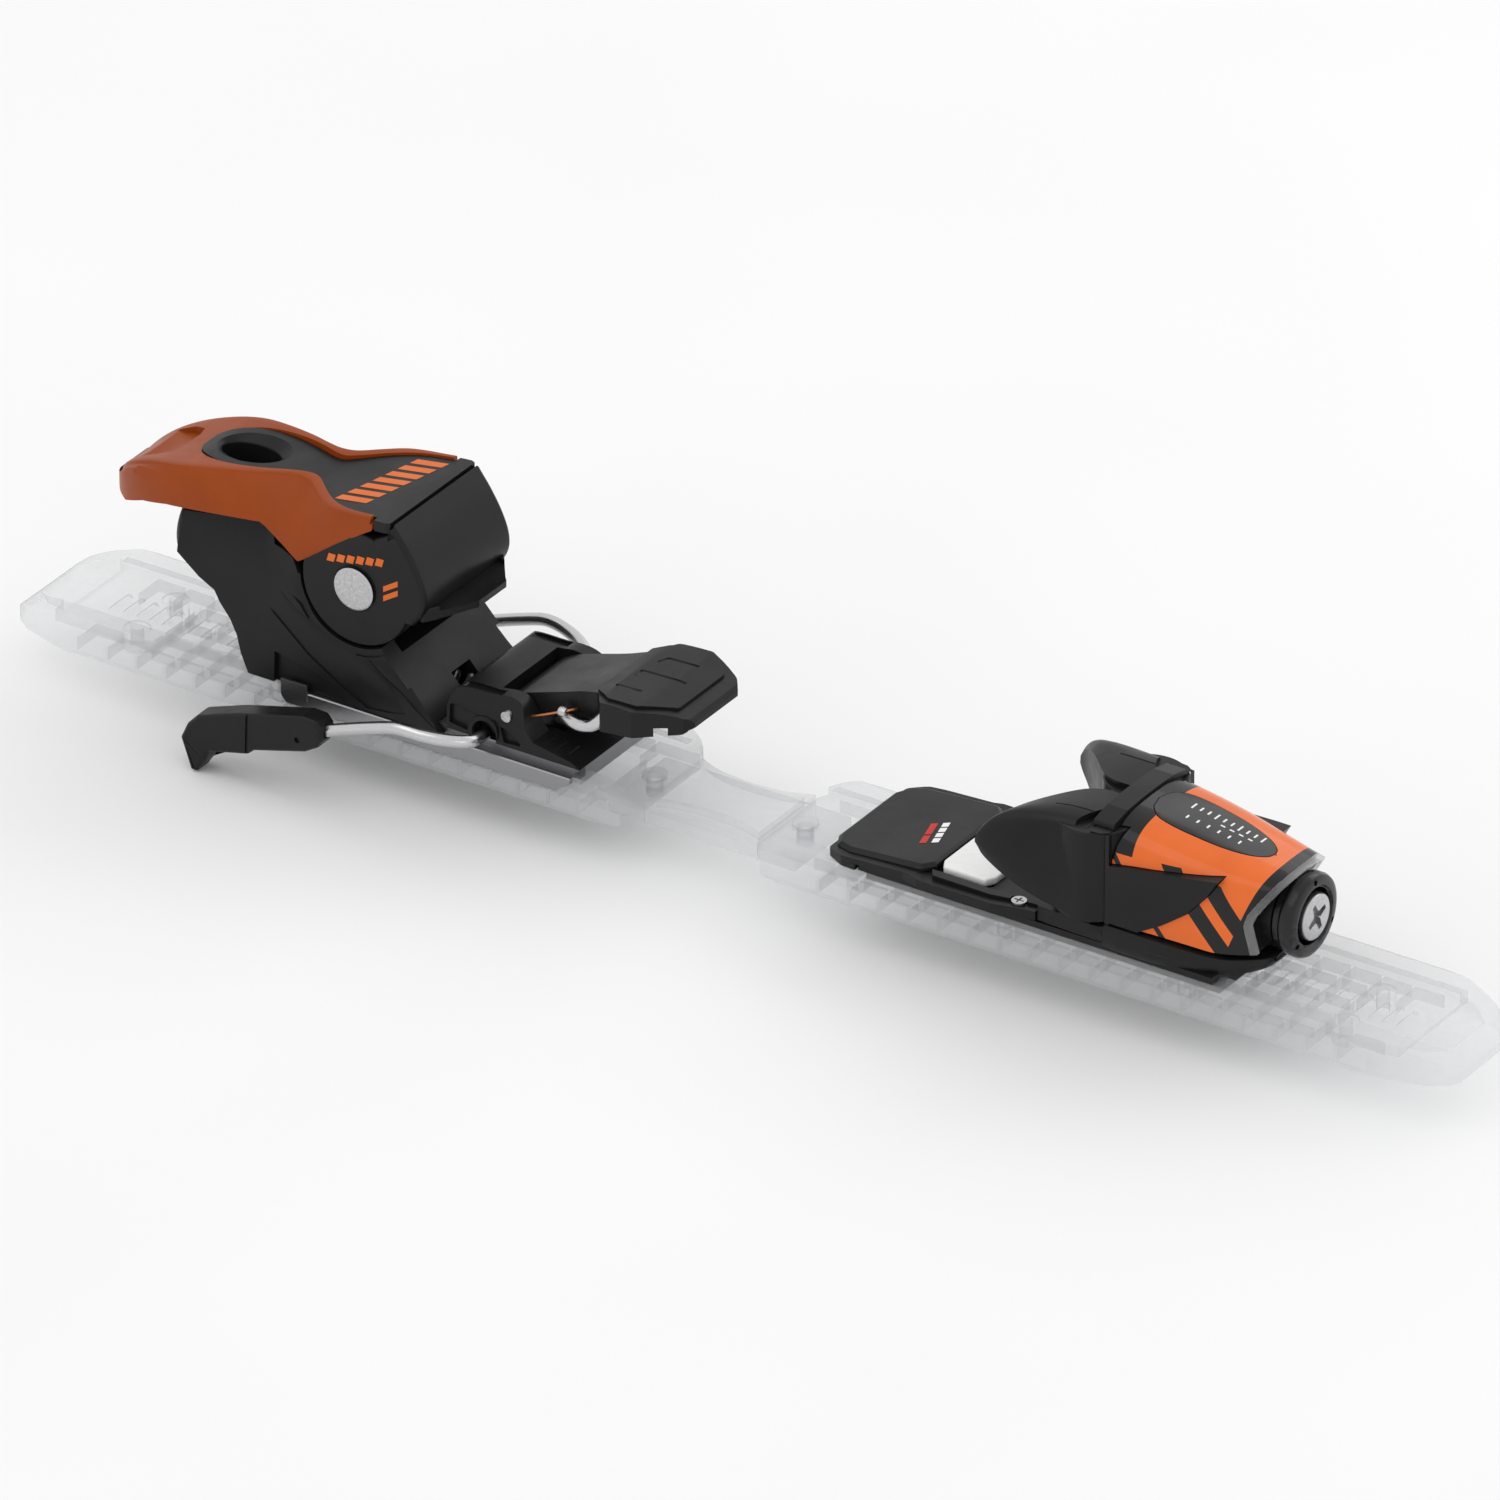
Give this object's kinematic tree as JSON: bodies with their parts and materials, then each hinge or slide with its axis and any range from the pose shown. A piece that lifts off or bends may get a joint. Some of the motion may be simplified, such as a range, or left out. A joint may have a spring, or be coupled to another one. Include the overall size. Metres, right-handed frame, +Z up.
{
  "type": "alpine rail ski binding",
  "caption": "Step-in alpine ski binding: heel with lever and cup, ski brake and toe piece with swinging wings, sliding on a translucent rail",
  "frame": {"origin": "middle of the rail's underside, in the plane that rests on the ski", "axes": "+X towards the ski tip (from heel to toe), +Y to the left, +Z up away from the ski"},
  "size_m": [0.649, 0.1108, 0.1186],
  "materials": {
    "black_plastic": "satin, fine moulded grain",
    "orange_plastic": "satin",
    "printed_cover": "gloss, printed under a clear skin",
    "clear_rail": "frosted translucent",
    "window": "gloss",
    "steel": "brushed",
    "spring_steel": "drawn wire",
    "white_slide": "satin low-friction pad"
  },
  "bodies": {
    "rail": {"rail_heel_plate": "clear_rail", "rail_toe_plate": "clear_rail", "rail_link": "clear_rail", "link_pin_heel": "clear_rail", "link_pin_toe": "clear_rail"},
    "heel_slider": {"heel_carriage": "steel", "brake_base": "black_plastic", "pedal_pin": "steel", "pressure_spring": "spring_steel"},
    "heel_latch": {"heel_latch": "black_plastic"},
    "heel_tower": {"heel_tower": "black_plastic", "heel_pivot_pin": "steel", "heel_pivot_cap": "steel", "heel_spring": "spring_steel"},
    "heel_din_screw": {"heel_din_screw": "black_plastic"},
    "heel_spring_nut": {"heel_spring_nut": "black_plastic"},
    "heel_piston": {"heel_piston": "steel"},
    "heel_lever": {"lever_frame": "orange_plastic", "lever_insert": "black_plastic"},
    "heel_cup": {"heel_cup": "black_plastic", "heel_treadle": "black_plastic"},
    "brake_pedal": {"brake_pedal": "black_plastic", "pedal_pad": "black_plastic", "pedal_loop": "steel"},
    "brake_arm_right": {"brake_arm_right": "steel", "brake_foot_right": "black_plastic"},
    "brake_arm_left": {"brake_arm_left": "steel", "brake_foot_left": "black_plastic"},
    "toe_slider": {"toe_base": "black_plastic", "sole_plate": "black_plastic", "afd_pad": "white_slide", "toe_housing": "black_plastic", "toe_cover": "printed_cover", "toe_window": "window", "toe_collar": "black_plastic", "sole_screw_right": "steel", "sole_screw_left": "steel", "wing_pin_right": "steel", "wing_pin_left": "steel", "toe_spring": "spring_steel"},
    "toe_latch": {"toe_latch": "black_plastic"},
    "toe_din_screw": {"toe_din_screw": "steel"},
    "toe_indicator": {"toe_indicator": "white_slide"},
    "toe_piston": {"toe_piston": "steel"},
    "toe_wing_right": {"toe_wing_right": "black_plastic"},
    "toe_wing_left": {"toe_wing_left": "black_plastic"}
  },
  "joints": [
    {"name": "heel_adjust", "type": "slide", "parent": "rail", "child": "heel_slider", "axis": [1, 0, 0], "range_m": [-0.06, 0.024]},
    {"name": "heel_latch_lift", "type": "slide", "parent": "heel_slider", "child": "heel_latch", "axis": [0, 0, 1], "range_m": [0, 0.002], "stiffness_N_per_m": 400},
    {"name": "forward_pressure", "type": "slide", "parent": "heel_slider", "child": "heel_tower", "axis": [1, 0, 0], "range_m": [-0.006, 0], "stiffness_N_per_m": 8000, "deforming": ["pressure_spring"]},
    {"name": "heel_din_turn", "type": "hinge", "parent": "heel_tower", "child": "heel_din_screw", "pos_m": [-0.248, 0, 0.0562], "axis": [1, 0, 0], "range_deg": [0, 720]},
    {"name": "heel_nut_slide", "type": "slide", "parent": "heel_tower", "child": "heel_spring_nut", "axis": [1, 0, 0], "range_m": [-0.0031, 0]},
    {"name": "lever_swing", "type": "hinge", "parent": "heel_tower", "child": "heel_lever", "pos_m": [-0.1601, 0, 0.0681], "axis": [0, 1, 0], "range_deg": [0, 22]},
    {"name": "heel_cup_swing", "type": "hinge", "parent": "heel_tower", "child": "heel_cup", "pos_m": [-0.1601, 0, 0.0681], "axis": [0, 1, 0], "range_deg": [0, 23]},
    {"name": "heel_piston_slide", "type": "slide", "parent": "heel_tower", "child": "heel_piston", "axis": [1, 0, 0], "range_m": [0, 0.0021]},
    {"name": "brake_pedal_swing", "type": "hinge", "parent": "heel_slider", "child": "brake_pedal", "pos_m": [-0.092, 0, 0.033], "axis": [0, 1, 0], "range_deg": [0, 13.5], "stiffness_Nm_per_rad": 1.2, "springref_deg": -17.19},
    {"name": "brake_arm_right_swing", "type": "hinge", "parent": "heel_slider", "child": "brake_arm_right", "pos_m": [-0.101, -0.031, 0.0236], "axis": [0, 0.9781, -0.2079], "range_deg": [0, 20.1]},
    {"name": "brake_arm_left_swing", "type": "hinge", "parent": "heel_slider", "child": "brake_arm_left", "pos_m": [-0.101, 0.031, 0.0236], "axis": [0, 0.9781, 0.2079], "range_deg": [0, 20.1]},
    {"name": "toe_adjust", "type": "slide", "parent": "rail", "child": "toe_slider", "axis": [1, 0, 0], "range_m": [-0.03, 0.042]},
    {"name": "toe_latch_lift", "type": "slide", "parent": "toe_slider", "child": "toe_latch", "axis": [0, 0, 1], "range_m": [0, 0.0015], "stiffness_N_per_m": 400},
    {"name": "toe_din_turn", "type": "hinge", "parent": "toe_slider", "child": "toe_din_screw", "pos_m": [0.251, 0, 0.04], "axis": [1, 0, 0], "range_deg": [0, 720]},
    {"name": "toe_indicator_slide", "type": "slide", "parent": "toe_slider", "child": "toe_indicator", "axis": [1, 0, 0], "range_m": [0, 0.0031]},
    {"name": "toe_piston_slide", "type": "slide", "parent": "toe_slider", "child": "toe_piston", "axis": [1, 0, 0], "range_m": [0, 0.003], "stiffness_N_per_m": 2000},
    {"name": "toe_wing_right_swing", "type": "hinge", "parent": "toe_slider", "child": "toe_wing_right", "pos_m": [0.165, -0.017, 0.045], "axis": [0, 0, 1], "range_deg": [0, 25], "stiffness_Nm_per_rad": 6},
    {"name": "toe_wing_left_swing", "type": "hinge", "parent": "toe_slider", "child": "toe_wing_left", "pos_m": [0.165, 0.017, 0.045], "axis": [0, 0, -1], "range_deg": [0, 25], "stiffness_Nm_per_rad": 6}
  ],
  "couplings": [
    {"joint": "heel_nut_slide", "follows": "heel_din_turn", "m_per_rad": -0.00023873},
    {"joint": "heel_cup_swing", "follows": "lever_swing", "ratio": 1.04},
    {"joint": "heel_piston_slide", "follows": "lever_swing", "m_per_rad": 0.0052087},
    {"joint": "brake_arm_right_swing", "follows": "brake_pedal_swing", "ratio": 1.4815},
    {"joint": "brake_arm_left_swing", "follows": "brake_pedal_swing", "ratio": 1.4815},
    {"joint": "toe_indicator_slide", "follows": "toe_din_turn", "m_per_rad": 0.00023873}
  ]
}
